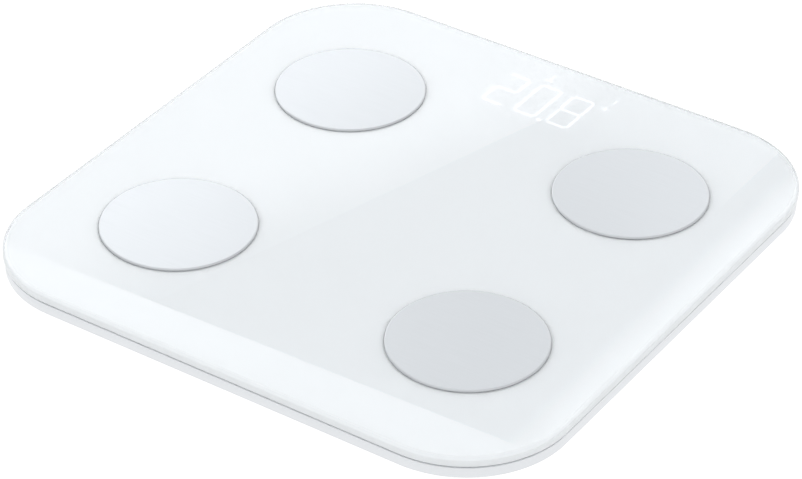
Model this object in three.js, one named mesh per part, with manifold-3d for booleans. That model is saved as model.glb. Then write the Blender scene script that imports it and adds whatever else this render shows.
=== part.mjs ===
// Digital bathroom scale: a square glass platform with four round electrodes, a hidden lit display, a white
// plastic base, four load cell feet, a unit button and a battery bay with four AAA cells.
// Millimetres. +Z up, X along the front edge, Y from the front edge towards the display.
// The origin is on the floor, below the middle of the platform.

import * as THREE from "three";
import { mergeVertices } from "three/addons/utils/BufferGeometryUtils.js";
import Module from "manifold-3d";

const wasm = await Module();
wasm.setup();

// ---- driving dimensions ----
const GLASS = { half: 150, corner: 53, thick: 5, bevel: 0.6, underside: 19 };
const GLASS_TOP = GLASS.underside + GLASS.thick;
const ELECTRODE = { radius: 37.75, proud: 1, x: 81, y: 70.5, stud: 2.5, studLength: 7.5 };
const ADHESIVE = { inset: 1.2, width: 3.2, thick: 0.6 };
const BASE = { inset: 0.5, wall: 2, top: GLASS.underside - ADHESIVE.thick, rimBottom: 13, bottom: 3.5 };
const FLOOR_TOP = BASE.bottom + BASE.wall;
const FOOT = { x: 104, y: 104, capRadius: 19, padRadius: 17, padHeight: 1.6, travel: 0.3, post: 4.5 };
const CELL = { size: 34, bottom: 8, thick: 2.6, tongue: 15, slot: 2.2 };
const BRACKET = { size: 44, roof: 2.4, skirtGap: 0.3 };
const BATTERY = { radius: 5.25, length: 44.5, nub: 1, pitch: 11.4, z: 11.4 };
const BAY = { halfX: 23.6, halfY: 26, wall: 1.6, roofBottom: 16.95, roofTop: 18.2 };
const COVER = { halfX: 31, front: -31, back: 33, thick: 1.7, gap: 0.4 };
const BOARD = { x0: -62, x1: 58, y0: 88, y1: 141, bottom: 11, thick: 1.6 };
const DISPLAY = { x0: -36, x1: 40, y0: 96, y1: 141, top: 18.4, film: 0.3 };
const DIGIT = { width: 11.8, height: 26.8, pitch: 18.6, x: -17.5, y: 101.5, stroke: 1.8, gap: 0.7 };
const BUTTON = { x: 47, y: 95, radius: 4.1, flange: 5.6, travel: 0.5 };
const LEAD = { cell: 0.6, electrode: 0.7, battery: 0.7, cellZ: 11.8, electrodeZ: 15.6, batteryZ: 13.6 };
const WIRE_STEP = 6;
const FIT = 0.3;

// ---- helpers ----
const finish = (color, roughness, metalness = 0) =>
  new THREE.MeshStandardMaterial({ color, roughness, metalness });

const material = {
  glass: finish(0xe9f1f2, 0.05),
  steel: finish(0xcfd2d3, 0.3, 1),
  adhesive: finish(0xb9bcbd, 0.7),
  base: finish(0xf2f3f3, 0.45),
  black: finish(0x1c1d1f, 0.6),
  board: finish(0x1f5b38, 0.5),
  white: finish(0xfafafa, 0.5),
  film: finish(0xe2e6e8, 0.6),
  shield: finish(0xb8babc, 0.35, 1),
  nickel: finish(0xc3c3be, 0.3, 1),
  cell: finish(0x8f9396, 0.45, 1),
  bracket: finish(0xdcdddd, 0.5),
  rubber: finish(0xbfc1c2, 0.85),
  sleeve: finish(0x2f3336, 0.4),
  red: finish(0xb3231f, 0.5),
  wire: finish(0xe6e6e4, 0.5),
};

const scale = new THREE.Group();

function add(name, geometry, look) {
  const mesh = new THREE.Mesh(geometry, look);
  mesh.name = name;
  scale.add(mesh);
}

function toSolid(geometry) {
  const bare = new THREE.BufferGeometry();
  bare.setAttribute("position", geometry.attributes.position.clone());
  if (geometry.index) bare.setIndex(geometry.index.clone());
  const merged = mergeVertices(bare, 1e-4);
  return new wasm.Manifold(new wasm.Mesh({
    numProp: 3,
    vertProperties: new Float32Array(merged.attributes.position.array),
    triVerts: new Uint32Array(merged.index.array),
  }));
}

function toGeometry(solid) {
  const mesh = solid.getMesh();
  const geometry = new THREE.BufferGeometry();
  geometry.setAttribute("position", new THREE.BufferAttribute(new Float32Array(mesh.vertProperties), 3));
  geometry.setIndex(new THREE.BufferAttribute(new Uint32Array(mesh.triVerts), 1));
  geometry.computeVertexNormals();
  return geometry;
}

// One geometry from a first piece with others joined to it, then others cut from it.
function build(first, joined = [], cuts = []) {
  let solid = toSolid(first);
  for (const piece of joined) solid = solid.add(toSolid(piece));
  for (const piece of cuts) solid = solid.subtract(toSolid(piece));
  return toGeometry(solid);
}

function box(x0, x1, y0, y1, z0, z1) {
  const geometry = new THREE.BoxGeometry(x1 - x0, y1 - y0, z1 - z0);
  return geometry.translate((x0 + x1) / 2, (y0 + y1) / 2, (z0 + z1) / 2);
}

function rod(x, y, radius, z0, z1, sides = 32, topRadius = radius) {
  const geometry = new THREE.CylinderGeometry(topRadius, radius, z1 - z0, sides);
  return geometry.rotateX(Math.PI / 2).translate(x, y, (z0 + z1) / 2);
}

// A turned piece: [radius, z] points from the bottom of the axis round the outside to the top of the axis.
function turned(profile, x, y, sides) {
  const points = profile.map(([radius, z]) => new THREE.Vector2(radius, z));
  return new THREE.LatheGeometry(points, sides).rotateX(Math.PI / 2).translate(x, y, 0);
}

// A slab of a flat outline in X and Y, from z0 up to z1.
function slab(points, z0, z1) {
  const shape = new THREE.Shape(points.map(([x, y]) => new THREE.Vector2(x, y)));
  const geometry = new THREE.ExtrudeGeometry(shape, { depth: z1 - z0, bevelEnabled: false });
  return geometry.translate(0, 0, z0);
}

// A rounded square turned like a lathe piece, with its four quarter turns moved out to the corners.
// profile holds [inset from the side, z] points; an inset of null is a point on the middle axis.
function roundedSquare(profile, half, corner, arcSteps) {
  const columns = 4 * (arcSteps + 1);
  const points = profile.map(([inset, z]) => new THREE.Vector2(inset === null ? 0 : corner - inset, z));
  const geometry = new THREE.LatheGeometry(points, columns);
  const position = geometry.attributes.position;
  for (let column = 0; column <= columns; column += 1) {
    const quarter = Math.floor(column / (arcSteps + 1)) % 4;
    const angle = (quarter + (column % (arcSteps + 1)) / arcSteps) * (Math.PI / 2);
    const middle = (quarter + 0.5) * (Math.PI / 2);
    points.forEach((point, row) => {
      const shift = profile[row][0] === null ? 0 : half - corner;
      position.setXYZ(
        column * points.length + row,
        point.x * Math.cos(angle) + shift * Math.sign(Math.cos(middle)),
        point.x * Math.sin(angle) + shift * Math.sign(Math.sin(middle)),
        point.y,
      );
    });
  }
  return geometry;
}

// A wire: a round or ribbon section pushed along a smooth curve through the route's points.
function wire(route, section) {
  const points = route.map(([x, y, z]) => new THREE.Vector3(x, y, z));
  const curve = new THREE.CatmullRomCurve3(points, false, "centripetal");
  const steps = Math.round(curve.getLength() / WIRE_STEP);
  return new THREE.ExtrudeGeometry(section, { steps, bevelEnabled: false, extrudePath: curve });
}

function roundSection(radius) {
  const corners = [];
  for (let i = 0; i < 8; i += 1) {
    const angle = (i + 0.5) * (Math.PI / 4);
    corners.push(new THREE.Vector2(radius * Math.cos(angle), radius * Math.sin(angle)));
  }
  return new THREE.Shape(corners);
}

const CORNERS = [
  ["front_left", -1, -1],
  ["front_right", 1, -1],
  ["back_left", -1, 1],
  ["back_right", 1, 1],
];

// ---- glass platform and its adhesive ring ----
function glassPlatform() {
  const { half, corner, bevel, underside } = GLASS;
  const lowBevel = bevel / 2;
  const plate = roundedSquare([
    [null, underside],
    [lowBevel, underside],
    [0, underside + lowBevel],
    [0, GLASS_TOP - bevel],
    [bevel, GLASS_TOP],
    [null, GLASS_TOP],
  ], half, corner, 10);
  const holes = CORNERS.map(([, sx, sy]) =>
    rod(sx * ELECTRODE.x, sy * ELECTRODE.y, ELECTRODE.stud + FIT + 0.2, underside - 1, GLASS_TOP + 1, 12));
  return build(plate, [], holes);
}

function adhesiveRing() {
  const outer = ADHESIVE.inset;
  const inner = ADHESIVE.inset + ADHESIVE.width;
  return roundedSquare([
    [inner, BASE.top],
    [outer, BASE.top],
    [outer, GLASS.underside],
    [inner, GLASS.underside],
    [inner, BASE.top],
  ], GLASS.half, GLASS.corner, 8);
}

// ---- electrodes ----
function electrode(x, y) {
  const top = GLASS_TOP + ELECTRODE.proud;
  return turned([
    [0, GLASS_TOP - ELECTRODE.studLength],
    [ELECTRODE.stud, GLASS_TOP - ELECTRODE.studLength],
    [ELECTRODE.stud, GLASS_TOP],
    [ELECTRODE.radius, GLASS_TOP],
    [ELECTRODE.radius, top - 0.4],
    [ELECTRODE.radius - 0.7, top],
    [0, top],
  ], x, y, 32);
}

function electrodeNut(x, y) {
  const nut = rod(x, y, 4.6, GLASS.underside - 2.3, GLASS.underside, 6);
  return build(nut, [], [rod(x, y, ELECTRODE.stud + FIT, GLASS.underside - 3, GLASS.underside + 1, 12)]);
}

// ---- base shell ----
const BASE_PROFILE_OUTSIDE = [
  [0, BASE.rimBottom + 0.6],
  [0.6, BASE.rimBottom],
  [5.5, 8.8],
  [12.5, 5.6],
  [23.5, BASE.bottom],
];
const BASE_PROFILE_INSIDE = [
  [23.5, FLOOR_TOP],
  [13.3, 7.5],
  [6.8, 10.5],
  [BASE.wall, 14.2],
  [BASE.wall, BASE.top],
];

function baseTray() {
  const outside = [...BASE_PROFILE_OUTSIDE].reverse();
  const profile = [[null, BASE.bottom], ...outside, [0, BASE.top]];
  const inside = [...BASE_PROFILE_INSIDE].reverse();
  return roundedSquare([...profile, ...inside, [null, FLOOR_TOP]],
    GLASS.half - BASE.inset, GLASS.corner - BASE.inset, 8);
}

function footWell(x, y) {
  const wellRadius = FOOT.capRadius + 2.6;
  return rod(x, y, wellRadius, FLOOR_TOP - 0.5, CELL.bottom - FIT, 28);
}

function ribs() {
  const low = FLOOR_TOP - 0.5;
  const top = 9;
  const half = 0.7;
  const list = [];
  for (const x of [-62, 62]) list.push(box(x - half, x + half, -120, 84, low, top));
  for (const y of [-60, 48]) list.push(box(-120, 120, y - half, y + half, low, top));
  list.push(box(-half, half, -120, -32, low, top));
  return list;
}

const BOARD_SCREWS = [[-57, 93], [-57, 134], [53, 134]];
const BOSS_LOW = 6.3;

function baseShell() {
  const { halfX, halfY, wall, roofBottom, roofTop } = BAY;
  const low = FLOOR_TOP - 0.5;
  const bayBlock = box(-halfX - wall, halfX + wall, -halfY - wall, halfY + wall, low, roofTop);
  const ledge = box(-COVER.halfX - 2, COVER.halfX + 2, COVER.front - 5, COVER.back + 8, low, 7.2);
  const bosses = BOARD_SCREWS.map(([x, y]) => rod(x, y, 3.2, y > 126 ? BOSS_LOW : low, BOARD.bottom, 14));
  const guide = rod(BUTTON.x, BUTTON.y, BUTTON.flange + 1.7, low, FLOOR_TOP + 1, 24);
  const wells = CORNERS.map(([, sx, sy]) => footWell(sx * FOOT.x, sy * FOOT.y));
  const coverHole = box(
    -COVER.halfX - COVER.gap, COVER.halfX + COVER.gap,
    COVER.front - COVER.gap, COVER.back + COVER.gap,
    BASE.bottom - 1, BASE.bottom + COVER.thick + FIT,
  );
  const bay = box(-halfX, halfX, -halfY, halfY, BASE.bottom - 1, roofBottom);
  const hingeSlots = [-18, 18].map((x) =>
    box(x - 4.4, x + 4.4, COVER.front - 3.2, COVER.front + 2.5, BASE.bottom + 1.1, BASE.bottom + 3.2));
  const latchPocket = box(-6.4, 6.4, COVER.back - 4, COVER.back + 6, BASE.bottom - 1, 6.7);
  const tabSlots = [-1.5, 1.5].map((n) =>
    box(n * BATTERY.pitch - 1.9, n * BATTERY.pitch + 1.9, halfY - 1, halfY + wall + 1, 14, 15.2));
  const bossHoles = BOARD_SCREWS.map(([x, y]) => rod(x, y, 1.4, 7.6, BOARD.bottom + 1, 12));
  const buttonHole = rod(BUTTON.x, BUTTON.y, BUTTON.radius + FIT, BASE.bottom - 1, FLOOR_TOP + 2, 24);
  const flangeRoom = rod(BUTTON.x, BUTTON.y, BUTTON.flange + FIT, FLOOR_TOP, FLOOR_TOP + 2, 24);
  const footHoles = CORNERS.map(([, sx, sy]) =>
    rod(sx * FOOT.x, sy * FOOT.y, FOOT.capRadius + 0.9, BASE.bottom - 1, CELL.bottom, 28));
  return build(
    baseTray(),
    [bayBlock, ledge, ...bosses, guide, ...wells, ...ribs()],
    [coverHole, bay, ...hingeSlots, latchPocket, ...tabSlots, ...bossHoles, buttonHole, flangeRoom,
      ...footHoles],
  );
}

// ---- feet, load cells and brackets ----
function footPad(x, y) {
  const { padRadius, padHeight } = FOOT;
  return turned([
    [0, 0],
    [padRadius - 1, 0],
    [padRadius, 0.6],
    [padRadius, padHeight],
    [0, padHeight],
  ], x, y, 28);
}

function footCap(x, y) {
  const { capRadius, padHeight, padRadius, post, travel } = FOOT;
  return turned([
    [0, padHeight],
    [capRadius - 0.4, padHeight],
    [capRadius, padHeight + 0.5],
    [capRadius, 6],
    [capRadius - 1.6, 6],
    [capRadius - 1.6, 3.4],
    [post, 3.4],
    [post, CELL.bottom - travel - 0.1],
    [0, CELL.bottom - travel - 0.1],
  ], x, y, 28);
}

// A stamped steel plate: an outer frame, and a tongue that hangs from its back edge between two slots.
function loadCell(x, y, sx) {
  const half = CELL.size / 2;
  const { bottom, thick, tongue, slot } = CELL;
  const side = tongue / 2;
  const outline = [[-half, -half + 3], [-half + 3, -half], [half - 3, -half], [half, -half + 3], [half, half],
    [-half, half]];
  const cut = [[-side - slot, -side - slot], [side + slot, -side - slot], [side + slot, half - 8],
    [side, half - 8], [side, -side], [-side, -side], [-side, half - 8], [-side - slot, half - 8]];
  const place = ([u, v]) => [x + u, y + v];
  const plate = slab(outline.map(place), bottom, bottom + thick);
  const slotCut = slab(cut.map(place), bottom - 1, bottom + thick + 1);
  const holes = [-1, 1].map((n) =>
    rod(x + n * (half - 4), y - half + 5, 1.6, bottom - 1, bottom + thick + 1, 8));
  const gaugeX = x - sx * 2;
  const top = bottom + thick;
  const gauge = box(gaugeX - 4, gaugeX + 4, y + half - 7, y + half - 1.5, top - 0.2, top + 0.6);
  return build(plate, [gauge], [slotCut, ...holes]);
}

function loadCellBracket(x, y, sx) {
  const half = BRACKET.size / 2;
  const pocket = CELL.size / 2 + BRACKET.skirtGap;
  const cellTop = CELL.bottom + CELL.thick;
  const roofTop = cellTop + FIT + BRACKET.roof;
  const c = 5;
  const outline = [[-half, -half + c], [-half + c, -half], [half - c, -half], [half, -half + c],
    [half, half - c], [half - c, half], [-half + c, half], [-half, half - c]];
  const block = slab(outline.map(([u, v]) => [x + u, y + v]), CELL.bottom, roofTop);
  const tower = rod(x, y, 15, roofTop - 0.5, GLASS.underside - 0.1, 20);
  const towerBore = rod(x, y, 12.6, roofTop + 0.1, GLASS.underside + 1, 20);
  const pocketCut = box(x - pocket, x + pocket, y - pocket, y + pocket, CELL.bottom - 1, cellTop + 0.02);
  const tongueRoom = box(x - 10, x + 10, y - 10, y + pocket - 0.5, cellTop - 1, cellTop + 1.4);
  const notchInner = x - sx * (pocket - 1);
  const notchOuter = x - sx * (half + 1);
  const notch = box(Math.min(notchInner, notchOuter), Math.max(notchInner, notchOuter), y + 5, y + 12,
    CELL.bottom - 1, cellTop + 1.4);
  return build(block, [tower], [towerBore, pocketCut, tongueRoom, notch]);
}

// ---- display ----
const SEGMENTS = {
  a: [0, 1, "across"], b: [1, 0.75, "up"], c: [1, 0.25, "up"], d: [0, 0, "across"],
  e: [0, 0.25, "up"], f: [0, 0.75, "up"], g: [0, 0.5, "across"],
};

// One light well, as a six-pointed bar in the digit's own place.
function lightWell(originX, [fractionX, fractionY, direction]) {
  const { width, height, stroke, gap, y } = DIGIT;
  const half = stroke / 2;
  const length = direction === "across" ? width : height / 2;
  const run = length / 2 - gap;
  const outline = [[-run, 0], [-run + half, -half], [run - half, -half], [run, 0], [run - half, half],
    [-run + half, half]];
  const centreX = direction === "across" ? originX + width / 2 : originX + fractionX * width;
  const centreY = y + fractionY * height;
  const placed = outline.map(([u, v]) =>
    (direction === "across" ? [centreX + u, centreY + v] : [centreX - v, centreY + u]));
  return slab(placed, 0, GLASS.underside);
}

function displayHousing() {
  const { x0, x1, y0, y1, top, film } = DISPLAY;
  const block = box(x0, x1, y0, y1, BOARD.bottom + BOARD.thick, top);
  const wells = [];
  for (let digit = 0; digit < 3; digit += 1) {
    const originX = DIGIT.x + digit * DIGIT.pitch - DIGIT.width / 2;
    for (const segment of Object.values(SEGMENTS)) wells.push(lightWell(originX, segment));
  }
  const point = rod(10.6, DIGIT.y - 0.3, 0.9, 0, GLASS.underside, 8);
  const filmSeat = box(x0 + 1.5, x1 - 1.5, y0 + 1.5, y1 - 1.5, top - film, top + 1);
  const marks = [[-4, 135.5], [33, 135], [33, 127]].map(([x, y]) => rod(x, y, 2.2, 0, GLASS.underside, 8));
  return build(block, [], [filmSeat, ...wells, point, ...marks]);
}

function displayFilm() {
  const { x0, x1, y0, y1, top, film } = DISPLAY;
  return box(x0 + 1.8, x1 - 1.8, y0 + 1.8, y1 - 1.8, top - film, top + 0.2);
}

// ---- circuit board and what is on it ----
function mainBoard() {
  const { x0, x1, y0, y1, bottom, thick } = BOARD;
  const outline = [[x0, y0], [x1, y0], [x1, y1 - 6], [x1 - 6, y1], [x0 + 6, y1], [x0, y1 - 6]];
  const holes = BOARD_SCREWS.map(([x, y]) => rod(x, y, 1.5, bottom - 1, bottom + thick + 1, 12));
  return build(slab(outline, bottom, bottom + thick), [], holes);
}

const BOARD_TOP = BOARD.bottom + BOARD.thick;

// A wire header: a block with one plug well for each lead in its front face.
function header(leadXs, wellHalf) {
  const x0 = Math.min(...leadXs) - wellHalf - 1.2;
  const x1 = Math.max(...leadXs) + wellHalf + 1.2;
  const block = box(x0, x1, BOARD.y0 + 1, BOARD.y0 + 6, BOARD_TOP, 17);
  const wells = leadXs.map((x) => box(x - wellHalf, x + wellHalf, BOARD.y0, BOARD.y0 + 2.6, 13.6, 16));
  return build(block, [], wells);
}

function boardScrew(x, y) {
  return turned([
    [0, 8.4],
    [1.1, 8.4],
    [1.1, BOARD_TOP],
    [2.4, BOARD_TOP],
    [2.4, BOARD_TOP + 1],
    [1.6, BOARD_TOP + 1.6],
    [0, BOARD_TOP + 1.6],
  ], x, y, 14);
}

function unitSwitch() {
  const { x, y } = BUTTON;
  const can = box(x - 3, x + 3, y - 3, y + 3, BOARD.bottom - 3.5, BOARD.bottom);
  return build(can, [rod(x, y, 1.7, BOARD.bottom - 4.2, BOARD.bottom - 3, 14)]);
}

function unitButton() {
  const { x, y, radius, flange } = BUTTON;
  return turned([
    [0, BASE.bottom + 0.3],
    [radius - 0.5, BASE.bottom + 0.3],
    [radius, BASE.bottom + 0.7],
    [radius, FLOOR_TOP + 0.1],
    [flange, FLOOR_TOP + 0.1],
    [flange, FLOOR_TOP + 0.7],
    [0, FLOOR_TOP + 0.7],
  ], x, y, 24);
}

// ---- batteries, contacts and cover ----
const batteryX = (index) => (index - 1.5) * BATTERY.pitch;
const plusEnd = (index) => (index % 2 === 0 ? 1 : -1);

function battery(index) {
  const { radius, length, nub, z } = BATTERY;
  const half = length / 2;
  const shoulder = half - nub;
  const points = [[0, -half], [radius, -half], [radius, shoulder], [1.9, shoulder], [1.9, half], [0, half]];
  const profile = points.map(([r, along]) => new THREE.Vector2(r, along));
  const geometry = new THREE.LatheGeometry(profile, 16);
  if (plusEnd(index) < 0) geometry.rotateZ(Math.PI);
  return geometry.translate(batteryX(index), 0, z);
}

const CONTACT = { wallGap: 0.1, plate: 0.4, reach: 0.3, width: 7, low: 7.6, high: 15.4 };

function contactSpan() {
  const face = BAY.halfY - CONTACT.wallGap - CONTACT.plate;
  return { face, tip: BATTERY.length / 2 + CONTACT.reach };
}

function contactPlate(side, x0, x1) {
  const { face } = contactSpan();
  const near = side * face;
  const far = side * (face + CONTACT.plate);
  return box(x0, x1, Math.min(near, far), Math.max(near, far), CONTACT.low, CONTACT.high);
}

// The bent leaf that pushes on a battery's flat end.
function contactLeaf(side, x) {
  const { face, tip } = contactSpan();
  const { low, high, plate } = CONTACT;
  const middle = (low + high) / 2;
  const back = face + plate / 2;
  const outline = [[back, low], [tip, middle - 0.8], [tip, middle + 0.8], [back, high],
    [back, high - 0.6], [tip + 0.45, middle + 0.6], [tip + 0.45, middle - 0.6], [back, low + 0.6]];
  const shape = new THREE.Shape(outline.map(([along, z]) => new THREE.Vector2(side * along, z)));
  const strip = new THREE.ExtrudeGeometry(shape, { depth: 5, bevelEnabled: false });
  return strip.rotateX(Math.PI / 2).rotateZ(Math.PI / 2).translate(x - 2.5, 0, 0);
}

// The pressed dimple that meets a battery's nub.
function contactDimple(side, x) {
  const { face, tip } = contactSpan();
  const length = face + CONTACT.plate / 2 - tip;
  const geometry = new THREE.CylinderGeometry(2, 3, length, 12);
  if (side > 0) geometry.rotateZ(Math.PI);
  return geometry.translate(x, side * (tip + length / 2), BATTERY.z);
}

function contactTab(x) {
  const { face } = contactSpan();
  return box(x - 1.5, x + 1.5, face, BAY.halfY + BAY.wall + 2.6, 14.4, 14.8);
}

function contact(side, indexes, hasTab) {
  const half = CONTACT.width / 2;
  const x0 = Math.min(...indexes.map(batteryX)) - half;
  const x1 = Math.max(...indexes.map(batteryX)) + half;
  const pieces = indexes.map((index) =>
    (plusEnd(index) === side ? contactDimple(side, batteryX(index)) : contactLeaf(side, batteryX(index))));
  if (hasTab) pieces.push(contactTab(batteryX(indexes[0])));
  return build(contactPlate(side, x0, x1), pieces);
}

function batteryCover() {
  const { halfX, front, back, thick } = COVER;
  const bottom = BASE.bottom;
  const c = 2;
  const outline = [[-halfX + c, front], [halfX - c, front], [halfX, front + c], [halfX, back - c],
    [halfX - c, back], [-halfX + c, back], [-halfX, back - c], [-halfX, front + c]];
  const tabs = [-18, 18].map((x) =>
    box(x - 3.6, x + 3.6, front - 2.4, front + 2, bottom + 1.5, bottom + thick + 0.6));
  const latchStem = box(-5.6, 5.6, back - 1.5, back - 0.2, bottom + thick - 0.2, 6.3);
  const latchTooth = box(-5.6, 5.6, back - 0.5, back + 0.1, 5.7, 6.2);
  const grip = [back - 11, back - 9, back - 7].map((y) =>
    box(-6, 6, y - 0.35, y + 0.35, bottom - 1, bottom + 0.4));
  const inside = bottom + thick;
  const rails = [-BATTERY.pitch, BATTERY.pitch].map((x) =>
    box(x - 0.6, x + 0.6, -20, 20, inside - 0.2, inside + 0.4));
  return build(slab(outline, bottom, bottom + thick), [...tabs, latchStem, latchTooth, ...rails], grip);
}

// ---- leads ----
// Each route is a list of points chosen along the free lanes over the ribs and round the battery bay.
const HEADER_FRONT = BOARD.y0 + 1 - FIT;
const CELL_LEADS = { back_left: -37, front_left: -29, front_right: -21, back_right: -13 };
const ELECTRODE_LEADS = { back_left: 4, front_left: 8, front_right: 12, back_right: 16 };
const BATTERY_LEADS = { red: 25, black: 30 };
const PLUG_Z = 14.8;

function cellLeadRoute(name) {
  const [, sx, sy] = CORNERS.find(([corner]) => corner === name);
  const z = LEAD.cellZ;
  const endX = CELL_LEADS[name];
  const startX = sx * (FOOT.x - CELL.size / 2 - FIT);
  const startY = sy * FOOT.y + 8.5;
  const way = {
    back_left: [[-74, 104, z], [-68, 88, z], [-52, 80, z], [-40, 80, z]],
    front_left: [[-74, -90, z], [-69, -72, z], [-69, -10, z], [-69, 46, z], [-54, 68, z], [-34, 74, z]],
    front_right: [[74, -90, z], [69, -72, z], [69, -10, z], [69, 46, z], [54, 68, z], [0, 72, z],
      [-18, 75, z]],
    back_right: [[74, 104, z], [68, 88, z], [54, 79, z], [20, 78, z], [-6, 79, z]],
  }[name];
  const start = [[startX, startY, CELL.bottom + 1.4], [sx * 80, startY - 1, 10.4]];
  return [...start, ...way, [endX, 84, 13.2], [endX, HEADER_FRONT, PLUG_Z]];
}

function electrodeLeadRoute(name) {
  const [, sx, sy] = CORNERS.find(([corner]) => corner === name);
  const z = LEAD.electrodeZ;
  const endX = ELECTRODE_LEADS[name];
  const startX = sx * (ELECTRODE.x - 4.9);
  const startY = sy * ELECTRODE.y;
  const way = {
    back_left: [[-60, 67, z], [-30, 65, z], [-2, 67, z]],
    front_left: [[-62, -56, z], [-50, -40, z], [-50, 20, z], [-36, 52, z], [0, 61, z]],
    front_right: [[62, -56, z], [50, -40, z], [50, 20, z], [38, 50, z], [18, 61, z]],
    back_right: [[60, 67, z], [34, 66, z], [20, 70, z]],
  }[name];
  return [[startX, startY, 17], [startX - sx * 5, startY - sy * 1, z + 0.4], ...way, [endX, 80, z - 0.3],
    [endX, HEADER_FRONT, PLUG_Z]];
}

function batteryLeadRoute(name) {
  const z = LEAD.batteryZ;
  const endX = BATTERY_LEADS[name];
  const startX = name === "red" ? batteryX(0) : batteryX(3);
  const startY = BAY.halfY + BAY.wall + 2.6 + FIT;
  const way = name === "red" ? [[-12, 46, z], [4, 57, z], [20, 69, z]] : [[20, 46, z], [27, 62, z]];
  return [[startX, startY, 14.6], [startX, startY + 4, 14.4], ...way, [endX, 80, z],
    [endX, HEADER_FRONT, PLUG_Z]];
}

// ---- assembly ----
add("glass_platform", glassPlatform(), material.glass);
add("glass_adhesive", adhesiveRing(), material.adhesive);
add("base_shell", baseShell(), material.base);

for (const [name, sx, sy] of CORNERS) {
  const footX = sx * FOOT.x;
  const footY = sy * FOOT.y;
  add(`electrode_${name}`, electrode(sx * ELECTRODE.x, sy * ELECTRODE.y), material.steel);
  add(`electrode_nut_${name}`, electrodeNut(sx * ELECTRODE.x, sy * ELECTRODE.y), material.nickel);
  add(`electrode_lead_${name}`, wire(electrodeLeadRoute(name), roundSection(LEAD.electrode)), material.wire);
  add(`load_cell_${name}`, loadCell(footX, footY, sx), material.cell);
  add(`load_cell_bracket_${name}`, loadCellBracket(footX, footY, sx), material.bracket);
  add(`load_cell_lead_${name}`, wire(cellLeadRoute(name), roundSection(LEAD.cell)), material.black);
  add(`foot_cap_${name}`, footCap(footX, footY), material.base);
  add(`foot_pad_${name}`, footPad(footX, footY), material.rubber);
}

add("main_board", mainBoard(), material.board);
add("display_housing", displayHousing(), material.white);
add("display_film", displayFilm(), material.film);
add("controller_chip", box(-56, -44, 108, 120, BOARD_TOP, BOARD_TOP + 1.5), material.black);
add("radio_module", box(43, 55, 104, 122, BOARD_TOP, BOARD_TOP + 2.2), material.shield);
add("load_cell_header", header(Object.values(CELL_LEADS), 2.4), material.white);
add("electrode_header", header(Object.values(ELECTRODE_LEADS), 1.3), material.white);
add("battery_header", header(Object.values(BATTERY_LEADS), 1.6), material.white);
BOARD_SCREWS.forEach(([x, y], index) => add(`board_screw_${index + 1}`, boardScrew(x, y), material.nickel));
add("unit_switch", unitSwitch(), material.black);
add("unit_button", unitButton(), material.base);

for (let index = 0; index < 4; index += 1) add(`battery_${index + 1}`, battery(index), material.sleeve);
add("contact_plus", contact(1, [0], true), material.nickel);
add("contact_minus", contact(1, [3], true), material.nickel);
add("contact_bridge_back", contact(1, [1, 2], false), material.nickel);
add("contact_bridge_front_left", contact(-1, [0, 1], false), material.nickel);
add("contact_bridge_front_right", contact(-1, [2, 3], false), material.nickel);
add("battery_lead_red", wire(batteryLeadRoute("red"), roundSection(LEAD.battery)), material.red);
add("battery_lead_black", wire(batteryLeadRoute("black"), roundSection(LEAD.battery)), material.black);
add("battery_cover", batteryCover(), material.base);

export default scale;
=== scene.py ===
"""A bathroom scale with a glass platform, four round electrodes and a hidden lit display.

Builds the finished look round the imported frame: the glass and its back print, the electrodes, the lit
digits, the moulded base with its cover, button and feet, and the finishes of the parts inside.
"""

import math

import bmesh
import bpy
from mathutils import Matrix, Vector


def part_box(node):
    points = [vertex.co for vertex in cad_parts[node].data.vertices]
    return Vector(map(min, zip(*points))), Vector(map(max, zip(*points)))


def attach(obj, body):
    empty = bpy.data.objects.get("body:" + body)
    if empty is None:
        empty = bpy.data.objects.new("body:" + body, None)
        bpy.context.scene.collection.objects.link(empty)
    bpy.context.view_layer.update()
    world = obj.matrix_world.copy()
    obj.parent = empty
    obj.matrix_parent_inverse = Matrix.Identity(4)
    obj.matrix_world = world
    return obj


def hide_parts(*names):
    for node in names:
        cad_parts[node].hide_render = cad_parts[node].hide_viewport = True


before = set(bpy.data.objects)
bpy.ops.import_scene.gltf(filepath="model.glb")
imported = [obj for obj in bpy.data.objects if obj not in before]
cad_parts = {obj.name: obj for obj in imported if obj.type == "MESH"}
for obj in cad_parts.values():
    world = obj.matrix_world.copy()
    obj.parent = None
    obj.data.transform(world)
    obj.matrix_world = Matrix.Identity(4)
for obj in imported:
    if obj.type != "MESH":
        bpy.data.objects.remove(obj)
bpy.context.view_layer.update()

bl_info = {
    "name": "Bathroom scale",
    "version": (1, 0, 0),
    "blender": (4, 5, 0),
    "location": "View3D > Sidebar > Scale",
    "description": "Builds a glass bathroom scale with its inner parts, lights and camera",
    "category": "Add Mesh",
}

MM = 0.001
CORNERS = ("front_left", "front_right", "back_left", "back_right")
SAME_PLACE = 1e-6  # two places nearer than this, in metres, count as one
CORNER_STEPS = 32  # steps round a corner of the glass, the enamel and the base
EDGE_SLOPE = 0.9  # a glass face whose normal rises less than this belongs to the ground edge
RIM_LOW = 13.6  # height at which the upright rim of the base ends, in millimetres
HINGE_X = (-18, 18)  # where the cover's two tabs are, in millimetres
LID_FRONT, LID_BACK = -31 * MM, 33 * MM
KNOB_RADIUS = 4.1 * MM
BREAK_ANGLE = 50  # edges of the mouldings that turn by more than this, in degrees, are rounded


# ---- measures read from the frame ----
def low_and_high(node):
    """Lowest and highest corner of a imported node, in metres."""
    low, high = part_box(node)
    return Vector(low), Vector(high)


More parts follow.
